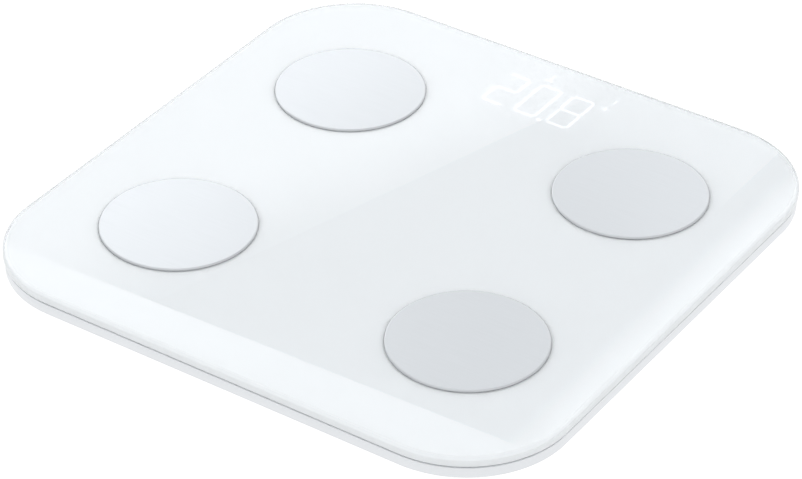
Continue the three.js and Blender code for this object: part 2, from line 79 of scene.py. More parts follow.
GLASS_LOW, GLASS_HIGH = low_and_high("glass_platform")
SHELL_LOW, SHELL_HIGH = low_and_high("base_shell")
COVER_LOW, COVER_HIGH = low_and_high("battery_cover")
BUTTON_LOW, BUTTON_HIGH = low_and_high("unit_button")
GLASS_HALF = GLASS_HIGH.x
SHELL_HALF = SHELL_HIGH.x


def middle_of(node):
    low, high = low_and_high(node)
    return (low + high) / 2


# ---- colours ----
def linear(code):
    """An sRGB hex colour as linear red, green, blue and alpha."""
    values = [int(code[i:i + 2], 16) / 255 for i in (1, 3, 5)]
    bent = [v / 12.92 if v <= 0.04045 else ((v + 0.055) / 1.055) ** 2.4 for v in values]
    return (*bent, 1.0)


def colour(name, description, code):
    return bpy.props.FloatVectorProperty(
        name=name, description=description, subtype="COLOR", size=4, min=0, max=1, default=linear(code))


def length(name, description, metres):
    return bpy.props.FloatProperty(name=name, description=description, default=metres, subtype="DISTANCE",
                                   unit="LENGTH", precision=5)


class ScaleSizes(bpy.types.PropertyGroup):
    """Sizes of the finished pieces that a maker would change."""

    glass_corner: length("Glass corner", "Radius of the platform's round corners", 53 * MM)
    glass_edge: length("Glass edge", "Width of the chamfer ground along the top of the glass", 1.0 * MM)
    glass_micro: length("Glass arris", "Rounding of the chamfer's own edges", 0.12 * MM)
    clear_skin: length("Clear skin", "Depth of clear glass over the white enamel", 0.5 * MM)
    print_inset: length("Print inset", "Clear margin between the glass edge and the white enamel", 1.2 * MM)
    electrode_edge: length("Electrode edge", "Radius of the rolled rim of each electrode", 0.92 * MM)
    shell_wall: length("Shell wall", "Wall thickness of the moulded base", 2 * MM)
    digit_height: length("Digit height", "Height of a lit digit between bar middles", 26.8 * MM)
    digit_width: length("Digit width", "Width of a lit digit between bar middles", 11.8 * MM)
    digit_pitch: length("Digit pitch", "Distance from one digit to the next", 18.6 * MM)
    bar_stroke: length("Bar stroke", "Width of one lit bar", 1.45 * MM)


class ScaleColours(bpy.types.PropertyGroup):
    """Colours of the finishes that a maker would change."""

    glass: colour("Glass", "Body tint of the tempered glass", "#fdfefe")
    back_print: colour("Back print", "White enamel behind the glass", "#fafcfd")
    electrode: colour("Electrode", "Satin stainless steel", "#b2b4b6")
    shell: colour("Shell", "White ABS of the base", "#d5d7d9")
    pad: colour("Pad", "Soft rubber under each foot", "#b9bcbe")
    lit_bar: colour("Lit bar", "Light of the display", "#fbfdff")


# ---- making pieces by hand ----
def clear_selection():
    if bpy.context.mode != "OBJECT":
        bpy.ops.object.mode_set(mode="OBJECT")
    bpy.ops.object.select_all(action="DESELECT")


def name_piece(name):
    """Names the active object and puts its place into its mesh."""
    piece = bpy.context.object
    piece.name = name
    piece.data.name = name
    bpy.ops.object.transform_apply(location=True, rotation=True, scale=True)
    return piece


def select_only(piece):
    clear_selection()
    piece.select_set(True)
    bpy.context.view_layer.objects.active = piece


def edit(piece):
    select_only(piece)
    bpy.ops.object.mode_set(mode="EDIT")


def pick(piece, kind, test):
    """In edit mode, selects the faces, edges or vertices that pass the test."""
    bpy.ops.mesh.select_mode(type=kind)
    bpy.ops.mesh.select_all(action="DESELECT")
    mesh = bmesh.from_edit_mesh(piece.data)
    for part in {"FACE": mesh.faces, "EDGE": mesh.edges, "VERT": mesh.verts}[kind]:
        if test(part):
            part.select_set(True)
    mesh.select_flush_mode()
    bmesh.update_edit_mesh(piece.data)


def at_height(height):
    """A test for faces, edges or vertices that lie at one height."""
    def test(part):
        points = [part] if isinstance(part, bmesh.types.BMVert) else part.verts
        return all(abs(v.co.z - height) < SAME_PLACE for v in points)
    return test


def extrude(value):
    bpy.ops.mesh.extrude_region_move(TRANSFORM_OT_translate={"value": value})


def bevel_edges(piece, test, width, segments):
    pick(piece, "EDGE", test)
    bpy.ops.mesh.bevel(offset_type="OFFSET", offset=width, segments=segments, affect="EDGES",
                       clamp_overlap=True)


def face_outwards(piece):
    pick(piece, "FACE", lambda face: True)
    bpy.ops.mesh.normals_make_consistent(inside=False)


def apply_modifier(piece, kind, **settings):
    select_only(piece)
    modifier = piece.modifiers.new(kind.title(), kind)
    for key, value in settings.items():
        setattr(modifier, key, value)
    bpy.ops.object.modifier_apply(modifier=modifier.name)


def smooth(piece, degrees=35):
    """Smooth shading on rounded edges only: large flat faces keep their own normals."""
    select_only(piece)
    bpy.ops.object.shade_smooth_by_angle(angle=math.radians(degrees))
    apply_modifier(piece, "WEIGHTED_NORMAL", mode="FACE_AREA", weight=100, keep_sharp=True)


def combine(piece, others, operation):
    """Joins the other pieces to a piece, or cuts them out of it, and removes them."""
    for other in others:
        apply_modifier(piece, "BOOLEAN", operation=operation, solver="EXACT", object=other)
        mesh = other.data
        bpy.data.objects.remove(other)
        bpy.data.meshes.remove(mesh)


def rounded_plate(name, half, corner, low, high, steps=24):
    """A square plate with round corners, from one height up to another."""
    clear_selection()
    bpy.ops.mesh.primitive_plane_add(size=2 * half, location=(0, 0, low))
    plate = name_piece(name)
    edit(plate)
    pick(plate, "VERT", lambda vertex: True)
    bpy.ops.mesh.bevel(offset_type="OFFSET", offset=corner, segments=steps, affect="VERTICES", profile=0.5)
    pick(plate, "FACE", lambda face: True)
    extrude((0, 0, high - low))
    face_outwards(plate)
    return plate


def post(name, x, y, radius, low, high, sides=64):
    """A round bar that stands on end."""
    clear_selection()
    bpy.ops.mesh.primitive_cylinder_add(
        vertices=sides, radius=radius, depth=high - low, location=(x, y, (low + high) / 2))
    return name_piece(name)


def block(name, low, high):
    """A square bar between two opposite corners."""
    clear_selection()
    bpy.ops.mesh.primitive_cube_add(size=1, location=(Vector(low) + Vector(high)) / 2)
    bpy.context.object.scale = Vector(high) - Vector(low)
    return name_piece(name)


def finish_piece(piece, body, slot, *nodes):
    """Puts a finished piece on its body and hides the nodes that it stands for."""
    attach(piece, body)
    if nodes:
        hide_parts(*nodes)


# ---- materials ----
def add_node(tree, kind, inputs=None, **settings):
    """Adds a node with its settings; each input is a value or another node's socket."""
    made = tree.nodes.new(kind)
    for key, value in settings.items():
        setattr(made, key, value)
    for key, value in (inputs or {}).items():
        if isinstance(value, bpy.types.NodeSocket):
            tree.links.new(value, made.inputs[key])
        else:
            made.inputs[key].default_value = value
    return made


def new_material(name, **shader_values):
    """A material with a principled shader whose constant values sit on its own sockets."""
    material = bpy.data.materials.new(name)
    material.use_nodes = True
    tree = material.node_tree
    shader = tree.nodes["Principled BSDF"]
    for key, value in shader_values.items():
        shader.inputs[key.replace("_", " ")].default_value = value
    return material, tree, shader


def surface_place(tree, stretch=(1, 1, 1)):
    """Object coordinates in metres, stretched along each axis."""
    place = add_node(tree, "ShaderNodeTexCoord")
    mapping = add_node(tree, "ShaderNodeMapping", {"Vector": place.outputs["Object"], "Scale": stretch})
    return mapping.outputs["Vector"]


def mottle(tree, place, grain, low, high):
    """A noise of one grain size in metres, between two values."""
    noise = add_node(tree, "ShaderNodeTexNoise", {"Vector": place, "Scale": 1 / grain, "Detail": 3})
    darkest, lightest = 0.25, 0.75  # the range that noise mostly keeps to
    spread = add_node(tree, "ShaderNodeMapRange",
                      {"Value": noise.outputs["Fac"], "From Min": darkest, "From Max": lightest,
                       "To Min": low, "To Max": high})
    return spread.outputs["Result"]


def tint(tree, factor, first, second):
    """A colour that drifts between two colours."""
    mixed = add_node(tree, "ShaderNodeMix", {"Factor": factor}, data_type="RGBA")
    mixed.inputs[6].default_value = first
    mixed.inputs[7].default_value = second
    return mixed.outputs[2]


def darker(shade, share):
    return tuple(channel * share for channel in shade[:3]) + (1.0,)


def roughen(tree, shader, place, grain, depth):
    """A fine relief of one grain size and depth in metres."""
    noise = add_node(tree, "ShaderNodeTexNoise", {"Vector": place, "Scale": 1 / grain, "Detail": 4})
    bump = add_node(tree, "ShaderNodeBump",
                    {"Height": noise.outputs["Fac"], "Strength": 1, "Distance": depth})
    tree.links.new(bump.outputs["Normal"], shader.inputs["Normal"])


def drift_colour(tree, shader, place, grain, shade, share, socket="Base Color"):
    """Lets a colour drift down to a share of itself, in patches of one grain size in metres."""
    drift = mottle(tree, place, grain, 0.0, 1.0)
    tree.links.new(tint(tree, drift, shade, darker(shade, share)), shader.inputs[socket])


def vary_roughness(tree, shader, place, grain, low, high):
    tree.links.new(mottle(tree, place, grain, low, high), shader.inputs["Roughness"])


def tempered_glass(colours):
    """The flat faces of the sheet: clear, with a mirror gloss and a tint that hardly drifts."""
    material, tree, shader = new_material(
        "tempered_float_glass", IOR=1.5, Transmission_Weight=1.0, Roughness=0.0)
    drift_colour(tree, shader, surface_place(tree), 80 * MM, colours.glass, 0.995)
    return material


def ground_glass(colours):
    """The edge of the sheet and its holes, ground and not polished: a satin that spreads the light."""
    material, tree, shader = new_material("ground_glass_edge", IOR=1.5, Transmission_Weight=1.0)
    place = surface_place(tree)
    vary_roughness(tree, shader, place, 0.4 * MM, 0.3, 0.4)
    drift_colour(tree, shader, place, 80 * MM, colours.glass, 0.995)
    return material


def back_enamel(colours):
    """Screen-printed enamel behind the glass: an even, slightly cool white."""
    material, tree, shader = new_material("screen_printed_enamel", Roughness=0.6, IOR=1.5)
    drift_colour(tree, shader, surface_place(tree), 25 * MM, colours.back_print, 0.992)
    return material


def satin_steel(colours):
    """Stainless sheet, finely brushed across: a soft sheen with hair lines along X, a little coarse."""
    material, tree, shader = new_material("brushed_stainless_sheet", Metallic=1.0)
    place = surface_place(tree, (0.02, 1, 1))
    drift_colour(tree, shader, place, 0.5 * MM, colours.electrode, 0.97)
    vary_roughness(tree, shader, place, 0.5 * MM, 0.28, 0.34)
    return material


def moulded_plastic(name, shade, roughness, grain, depth):
    """Injection-moulded plastic: an even colour with the fine grain of a spark-eroded tool."""
    material, tree, shader = new_material(name, IOR=1.5)
    place = surface_place(tree)
    drift_colour(tree, shader, place, 30 * MM, shade, 0.97)
    vary_roughness(tree, shader, place, grain, roughness - 0.05, roughness + 0.05)
    roughen(tree, shader, place, grain, depth)
    return material


def plated_metal(name, shade, roughness):
    """Stamped or turned metal with a thin plating: bright, with a slightly uneven gloss."""
    material, tree, shader = new_material(name, Metallic=1.0)
    place = surface_place(tree)
    drift_colour(tree, shader, place, 4 * MM, shade, 0.88)
    vary_roughness(tree, shader, place, 1.5 * MM, roughness - 0.06, roughness + 0.1)
    return material


def lit_diffuser(colours):
    """The lit part of the display: light spread by the enamel, a little uneven along each bar."""
    material, tree, shader = new_material("lit_enamel_window", Roughness=0.6, Emission_Strength=0.24)
    shader.inputs["Base Color"].default_value = colours.lit_bar
    drift_colour(tree, shader, surface_place(tree), 6 * MM, colours.lit_bar, 0.94, "Emission Color")
    return material


def assign(piece, material):
    piece.data.materials.clear()
    piece.data.materials.append(material)


def finish_node(node, material):
    """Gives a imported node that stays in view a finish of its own."""
    assign(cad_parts[node], material)


# ---- platform ----
def stud_holes(radius):
    """Posts to cut out of the glass or the enamel, round the stud of each electrode."""
    studs = [middle_of(f"electrode_nut_{corner}") for corner in CORNERS]
    low, high = GLASS_LOW.z - MM, GLASS_HIGH.z + MM
    return [post("stud_hole", stud.x, stud.y, radius, low, high, 32) for stud in studs]


class SCALE_OT_platform(bpy.types.Operator):
    """Makes the glass platform, its white back print and the adhesive ring"""

    bl_idname = "scale.platform"
    bl_label = "Glass platform"

    def execute(self, context):
        sizes = context.scene.scale_sizes
        colours = context.scene.scale_colours

        glass = rounded_plate("platform_glass", GLASS_HALF, sizes.glass_corner, GLASS_LOW.z, GLASS_HIGH.z,
                              CORNER_STEPS)
        lower_edge = sizes.glass_edge * 0.75
        bevel_edges(glass, at_height(GLASS_HIGH.z), sizes.glass_edge, 1)
        bevel_edges(glass, at_height(GLASS_LOW.z), lower_edge, 1)
        chamfer_heights = (GLASS_HIGH.z, GLASS_HIGH.z - sizes.glass_edge,
                           GLASS_LOW.z + lower_edge, GLASS_LOW.z)
        for height in chamfer_heights:
            bevel_edges(glass, at_height(height), sizes.glass_micro, 2)
        clear_selection()
        combine(glass, stud_holes(3 * MM), "DIFFERENCE")
        smooth(glass)
        assign(glass, tempered_glass(colours))
        glass.data.materials.append(ground_glass(colours))
        for face in glass.data.polygons:
            face.material_index = int(abs(face.normal.z) < EDGE_SLOPE)
        finish_piece(glass, "scale", "glass", "glass_platform")

        inset = sizes.print_inset
        print_top = GLASS_HIGH.z - sizes.clear_skin
        below = 0.1 * MM
        print_layer = rounded_plate("white_enamel", GLASS_HALF - inset, sizes.glass_corner - inset,
                                    GLASS_LOW.z - below, print_top, CORNER_STEPS)
        bevel_edges(print_layer, at_height(print_top), sizes.glass_edge * 1.3, 1)
        clear_selection()
        combine(print_layer, stud_holes(3.2 * MM), "DIFFERENCE")
        smooth(print_layer)
        assign(print_layer, back_enamel(colours))
        finish_piece(print_layer, "scale", "film")

        ring_low, ring_high = low_and_high("glass_adhesive")
        step = GLASS_HALF - ring_high.x
        width = 3.2 * MM
        gap_below, gap_above = 0.02 * MM, 0.12 * MM
        ring = rounded_plate("adhesive_ring", ring_high.x, sizes.glass_corner - step,
                             ring_low.z + gap_below, ring_high.z - gap_above, 24)
        clear_selection()
        hollow = rounded_plate("ring_hollow", ring_high.x - width, sizes.glass_corner - step - width,
                               ring_low.z - MM, ring_high.z + MM, 24)
        clear_selection()
        combine(ring, [hollow], "DIFFERENCE")
        smooth(ring)
        assign(ring, moulded_plastic("foam_adhesive", linear("#a9adaf"), 0.7, 0.4 * MM, 0.05 * MM))
        finish_piece(ring, "scale", "adhesive", "glass_adhesive")
        return {"FINISHED"}


# ---- electrodes ----
def make_electrode(corner, sizes):
    """A stud grown from a small round, spread into a disc and given a rolled rim."""
    low, high = low_and_high(f"electrode_{corner}")
    x, y = (low.x + high.x) / 2, (low.y + high.y) / 2
    radius = (high.x - low.x) / 2
    stud = 2.5 * MM
    rim_share = 0.9  # the rim lies further out than this share of the radius
    top = GLASS_HIGH.z
    clear_selection()
    bpy.ops.mesh.primitive_circle_add(vertices=128, radius=stud, fill_type="NGON", location=(x, y, low.z))
    disc = name_piece(f"electrode_disc_{corner}")
    edit(disc)
    pick(disc, "FACE", lambda face: True)
    extrude((0, 0, top - low.z))
    extrude((0, 0, 0))
    spread = radius / stud
    bpy.ops.transform.resize(value=(spread, spread, 1), center_override=(x, y, top))
    extrude((0, 0, high.z - top))
    face_outwards(disc)

    def on_rim(edge):
        far_out = all((v.co.xy - Vector((x, y))).length > radius * rim_share for v in edge.verts)
        return at_height(high.z)(edge) and far_out

    bevel_edges(disc, on_rim, sizes.electrode_edge, 8)
    clear_selection()
    smooth(disc, 30)
    return disc


class SCALE_OT_electrodes(bpy.types.Operator):
    """Makes the four stainless electrode discs with their studs"""

    bl_idname = "scale.electrodes"
    bl_label = "Electrodes"

    def execute(self, context):
        steel = satin_steel(context.scene.scale_colours)
        for corner in CORNERS:
            disc = make_electrode(corner, context.scene.scale_sizes)
            assign(disc, steel)
            finish_piece(disc, "scale", "electrode_steel", f"electrode_{corner}")
        return {"FINISHED"}


# ---- display ----
# Each bar of a digit: its place across and up, as shares of the digit's width and height, and its direction.
BARS = {
    "top": (0.5, 1.0, "across"), "upper_right": (1.0, 0.75, "up"), "lower_right": (1.0, 0.25, "up"),
    "bottom": (0.5, 0.0, "across"), "lower_left": (0.0, 0.25, "up"), "upper_left": (0.0, 0.75, "up"),
    "middle": (0.5, 0.5, "across"),
}
# The small marks' bars: middle across and up, length, in millimetres, and direction.
MARKS = (
    (-4, 133.4, 4.6, "across"), (-4, 136.6, 5.0, "up"), (33.5, 135, 4.6, "up"), (32.5, 127, 4.8, "across"),
    (32.5, 127, 4.8, "up"),
)
LIT = (
    ("top", "upper_right", "middle", "lower_left", "bottom"),
    ("top", "upper_right", "lower_right", "bottom", "lower_left", "upper_left"),
    tuple(BARS),
)


def lit_bar(x, y, long, stroke, direction, level, thick):
    """A flat bar with pointed ends."""
    clear_selection()
    bpy.ops.mesh.primitive_plane_add(size=1, location=(0, 0, level))
    bpy.context.object.scale = (long - stroke, stroke, 1)
    bar = name_piece("lit_bar")
    edit(bar)
    for side in (-1, 1):
        end = side * (long - stroke) / 2
        pick(bar, "EDGE", lambda edge: all(abs(v.co.x - end) < SAME_PLACE for v in edge.verts))
        extrude((side * stroke / 2, 0, 0))
        bpy.ops.mesh.merge(type="CENTER")
    pick(bar, "FACE", lambda face: True)
    extrude((0, 0, thick))
    face_outwards(bar)
    clear_selection()
    turn = Matrix.Rotation(math.pi / 2 if direction == "up" else 0, 4, "Z")
    bar.matrix_world = Matrix.Translation((x, y, 0)) @ turn
    select_only(bar)
    bpy.ops.object.transform_apply(location=True, rotation=True, scale=True)
    return bar


class SCALE_OT_display(bpy.types.Operator):
    """Makes the lit bars of the three digits, the point and the small marks"""

    bl_idname = "scale.display"
    bl_label = "Display"

    def execute(self, context):
        sizes = context.scene.scale_sizes
        stroke, height, width = sizes.bar_stroke, sizes.digit_height, sizes.digit_width
        thick = 0.04 * MM
        level = GLASS_HIGH.z - sizes.clear_skin - thick / 2
        left, bottom = -23.4 * MM, 101.5 * MM
        point_x, point_y, point_radius = 10.4 * MM, 100.6 * MM, 1.2 * MM
        bar_gap = 0.9 * MM
        parts = []
        for place, lit in enumerate(LIT):
            for bar_name in lit:
                across, up, direction = BARS[bar_name]
                long = (width if direction == "across" else height / 2) - bar_gap
                x = left + place * sizes.digit_pitch + across * width
                parts.append(lit_bar(x, bottom + up * height, long, stroke, direction, level, thick))
        parts.append(post("lit_point", point_x, point_y, point_radius, level, level + thick, 24))
        fine = stroke * 0.6
        for x, y, long, direction in MARKS:
            parts.append(lit_bar(x * MM, y * MM, long * MM, fine, direction, level, thick))
        clear_selection()
        for part in parts:
            part.select_set(True)
        bpy.context.view_layer.objects.active = parts[0]
        bpy.ops.object.join()
        digits = name_piece("lit_digits")
        assign(digits, lit_diffuser(context.scene.scale_colours))
        finish_piece(digits, "scale", "film")
        return {"FINISHED"}


# ---- base ----
def dish_steps():
    """The dished underside as steps of inset and drop, along a smooth bend from the rim to the flat."""
    start, bend, end = Vector((0.6, 13.0)), Vector((9.5, 5.6)), Vector((23.5, 3.5))
    count = 9
    points = []
    for i in range(count + 1):
        t = i / count
        points.append(start * (1 - t) ** 2 + bend * 2 * t * (1 - t) + end * t ** 2)
    return points


def make_shell(sizes):
    """A plate drawn down into a dish by insets, opened on top and given its wall."""
    corner = sizes.glass_corner - (GLASS_HALF - SHELL_HALF)
    shell = rounded_plate("moulded_base", SHELL_HALF, corner, RIM_LOW * MM, SHELL_HIGH.z, CORNER_STEPS)
    level = Vector((0.0, RIM_LOW))
    pick(shell, "FACE", at_height(RIM_LOW * MM))
    for point in [Vector((0.1, 13.3)), Vector((0.3, 13.1)), *dish_steps()]:
        bpy.ops.mesh.inset(thickness=(point.x - level.x) * MM, depth=(level.y - point.y) * MM,
                           use_boundary=True, use_even_offset=True)
        level = point
    pick(shell, "FACE", at_height(SHELL_HIGH.z))
    bpy.ops.mesh.delete(type="FACE")
    clear_selection()
    apply_modifier(shell, "SOLIDIFY", thickness=sizes.shell_wall, offset=-1, use_even_offset=True,
                   use_rim=True)
    return shell


class SCALE_OT_base(bpy.types.Operator):
    """Makes the moulded base with its foot wells, battery bay and button hole"""

    bl_idname = "scale.base"
    bl_label = "Base"

    def execute(self, context):
        sizes = context.scene.scale_sizes
        shell = make_shell(sizes)
        inside = SHELL_LOW.z + sizes.shell_wall - 0.5 * MM
        under = SHELL_LOW.z - MM
        feet = [middle_of(f"foot_cap_{corner}") for corner in CORNERS]
        cap_low, cap_high = low_and_high("foot_cap_front_left")
        cap_radius = (cap_high.x - cap_low.x) / 2
        button = middle_of("unit_button")
        rib_half = 0.7

        added = [post("foot_well", f.x, f.y, cap_radius + 2.6 * MM, inside, 7.7 * MM) for f in feet]
        added.append(block("bay_walls", (-25.2 * MM, -27.6 * MM, inside), (25.2 * MM, 27.6 * MM, 18.2 * MM)))
        added.append(block("cover_ledge", (COVER_LOW.x - 2 * MM, -36 * MM, inside),
                           (COVER_HIGH.x + 2 * MM, 41 * MM, 7.2 * MM)))
        added.append(post("button_guide", button.x, button.y, 7.3 * MM, inside, 6.5 * MM, 48))
        for x in (-62, 62):
            added.append(block("rib", ((x - rib_half) * MM, -120 * MM, inside),
                               ((x + rib_half) * MM, 84 * MM, 9 * MM)))
        for y in (-60, 48):
            added.append(block("rib", (-120 * MM, (y - rib_half) * MM, inside),
                               (120 * MM, (y + rib_half) * MM, 9 * MM)))
        for screw in (1, 2, 3):
            at = middle_of(f"board_screw_{screw}")
            low = 6.3 * MM if at.y > 0.126 else inside
            added.append(post("screw_boss", at.x, at.y, 3.2 * MM, low, 11 * MM, 32))
        combine(shell, added, "UNION")

        cut = [post("foot_hole", f.x, f.y, cap_radius + 0.9 * MM, under, 8 * MM, 96) for f in feet]
        gap = 0.35 * MM
        cut.append(block("cover_hole", (COVER_LOW.x - gap, LID_FRONT - gap, under),
                         (COVER_HIGH.x + gap, LID_BACK + gap, 5.5 * MM)))
        cut.append(block("bay", (-23.6 * MM, -26 * MM, under), (23.6 * MM, 26 * MM, 16.95 * MM)))
        cut.append(block("finger_dip", (-6.4 * MM, 29 * MM, under), (6.4 * MM, 39 * MM, 6.7 * MM)))
        for x in HINGE_X:
            cut.append(block("hinge_slot", ((x - 4.4) * MM, -34.2 * MM, 4.6 * MM),
                             ((x + 4.4) * MM, -28.5 * MM, 6.7 * MM)))
            cut.append(block("tab_slot", ((x * 0.95 - 1.9) * MM, 25 * MM, 14 * MM),
                             ((x * 0.95 + 1.9) * MM, 28.6 * MM, 15.2 * MM)))
        cut.append(post("button_hole", button.x, button.y, KNOB_RADIUS + 0.3 * MM, under, 7.5 * MM, 64))
        cut.append(post("flange_room", button.x, button.y, 5.9 * MM, 5.5 * MM, 7.5 * MM, 64))
        for screw in (1, 2, 3):
            at = middle_of(f"board_screw_{screw}")
            cut.append(post("boss_hole", at.x, at.y, 1.4 * MM, 7.6 * MM, 12 * MM, 24))
        combine(shell, cut, "DIFFERENCE")
        apply_modifier(shell, "BEVEL", width=0.25 * MM, segments=2, limit_method="ANGLE",
                       angle_limit=math.radians(BREAK_ANGLE), use_clamp_overlap=True)
        smooth(shell)
        colours = context.scene.scale_colours
        assign(shell, moulded_plastic("semi_gloss_abs", colours.shell, 0.34, 0.35 * MM, 0.006 * MM))
        finish_piece(shell, "scale", "base_plastic", "base_shell")
        return {"FINISHED"}


class SCALE_OT_cover_and_button(bpy.types.Operator):
    """Makes the battery cover with its grip, tabs and latch, and the round unit button"""

    bl_idname = "scale.cover_and_button"
    bl_label = "Battery cover and button"

    def execute(self, context):
        colours = context.scene.scale_colours
        abs_plastic = moulded_plastic("textured_abs", colours.shell, 0.42, 0.5 * MM, 0.012 * MM)
        bottom = SHELL_LOW.z
        top = bottom + 1.7 * MM
        cover = block("battery_lid", (COVER_LOW.x, LID_FRONT, bottom), (COVER_HIGH.x, LID_BACK, top))
        edit(cover)

        def upright(edge):
            return abs(edge.verts[0].co.z - edge.verts[1].co.z) > MM

        bevel_edges(cover, upright, 2 * MM, 5)
        bevel_edges(cover, at_height(bottom), 0.35 * MM, 3)
        clear_selection()
        parts = [block("tab", ((x - 3.6) * MM, -33.4 * MM, bottom + 1.5 * MM),
                       ((x + 3.6) * MM, -29 * MM, top + 0.6 * MM)) for x in HINGE_X]
        parts.append(block("latch", (-5.6 * MM, 31.5 * MM, top - 0.2 * MM), (5.6 * MM, 32.8 * MM, 6.3 * MM)))
        parts.append(block("latch_tooth", (-5.6 * MM, 32.5 * MM, 5.7 * MM), (5.6 * MM, 33.1 * MM, 6.2 * MM)))
        for x in (-11.4, 11.4):
            parts.append(block("rail", ((x - 0.6) * MM, -20 * MM, top - 0.2 * MM),
                               ((x + 0.6) * MM, 20 * MM, top + 0.4 * MM)))
        combine(cover, parts, "UNION")
        grips = [block("grip", (-6 * MM, (y - 0.35) * MM, bottom - MM),
                       (6 * MM, (y + 0.35) * MM, bottom + 0.4 * MM)) for y in (22, 24, 26)]
        combine(cover, grips, "DIFFERENCE")
        apply_modifier(cover, "BEVEL", width=0.12 * MM, segments=2, limit_method="ANGLE",
                       angle_limit=math.radians(BREAK_ANGLE), use_clamp_overlap=True)
        smooth(cover)
        assign(cover, abs_plastic)
        finish_piece(cover, "battery_cover", "base_plastic", "battery_cover")

        at = middle_of("unit_button")
        knob = post("unit_knob", at.x, at.y, KNOB_RADIUS, BUTTON_LOW.z, 5.6 * MM, 64)
        flange = post("unit_flange", at.x, at.y, 5.6 * MM, 5.6 * MM, BUTTON_HIGH.z, 64)
        combine(knob, [flange], "UNION")
        edit(knob)
        pick(knob, "FACE", at_height(BUTTON_LOW.z))
        bpy.ops.mesh.inset(thickness=0.9 * MM, depth=0)
        bpy.ops.mesh.inset(thickness=0.5 * MM, depth=-0.25 * MM)
        bevel_edges(knob, at_height(BUTTON_LOW.z), 0.15 * MM, 2)
        clear_selection()
        smooth(knob)
        assign(knob, abs_plastic)
        finish_piece(knob, "unit_button", "base_plastic", "unit_button")
        return {"FINISHED"}


# ---- feet ----
class SCALE_OT_feet(bpy.types.Operator):
    """Makes the four feet, each a dished cap and a ringed rubber pad"""

    bl_idname = "scale.feet"
    bl_label = "Feet"

    def execute(self, context):
        colours = context.scene.scale_colours
        cap_plastic = moulded_plastic("foot_abs", colours.shell, 0.4, 0.4 * MM, 0.01 * MM)
        rubber = moulded_plastic("soft_tpe_rubber", colours.pad, 0.72, 0.6 * MM, 0.04 * MM)
        for corner in CORNERS:
            low, high = low_and_high(f"foot_cap_{corner}")
            x, y = (low.x + high.x) / 2, (low.y + high.y) / 2
            radius = (high.x - low.x) / 2
            cap_top, wall = 6 * MM, 1.6 * MM
            cap = post(f"foot_dish_{corner}", x, y, radius, low.z, cap_top, 96)
            edit(cap)
            bevel_edges(cap, at_height(low.z), 0.6 * MM, 4)
            pick(cap, "FACE", at_height(cap_top))
            bpy.ops.mesh.inset(thickness=wall, depth=0)
            extrude((0, 0, -2.6 * MM))
            bpy.ops.mesh.inset(thickness=radius - wall - 4.5 * MM, depth=0)
            extrude((0, 0, high.z - 3.4 * MM))
            bevel_edges(cap, at_height(cap_top), 0.3 * MM, 2)
            clear_selection()
            smooth(cap)
            assign(cap, cap_plastic)
            finish_piece(cap, f"foot_{corner}", "base_plastic", f"foot_cap_{corner}")

            pad_low, pad_high = low_and_high(f"foot_pad_{corner}")
            pad_radius = (pad_high.x - pad_low.x) / 2
            pad = post(f"rubber_pad_{corner}", x, y, pad_radius, pad_low.z, pad_high.z, 96)
            edit(pad)
            bevel_edges(pad, at_height(pad_low.z), 0.5 * MM, 4)
            pick(pad, "FACE", at_height(pad_low.z))
            for _ in range(4):
                bpy.ops.mesh.inset(thickness=2.2 * MM, depth=0)
                bpy.ops.mesh.inset(thickness=0.35 * MM, depth=-0.35 * MM)
                bpy.ops.mesh.inset(thickness=0.5 * MM, depth=0)
                bpy.ops.mesh.inset(thickness=0.35 * MM, depth=0.35 * MM)
            clear_selection()
            smooth(pad)
            assign(pad, rubber)
            finish_piece(pad, f"foot_{corner}", "pad_rubber", f"foot_pad_{corner}")
        return {"FINISHED"}


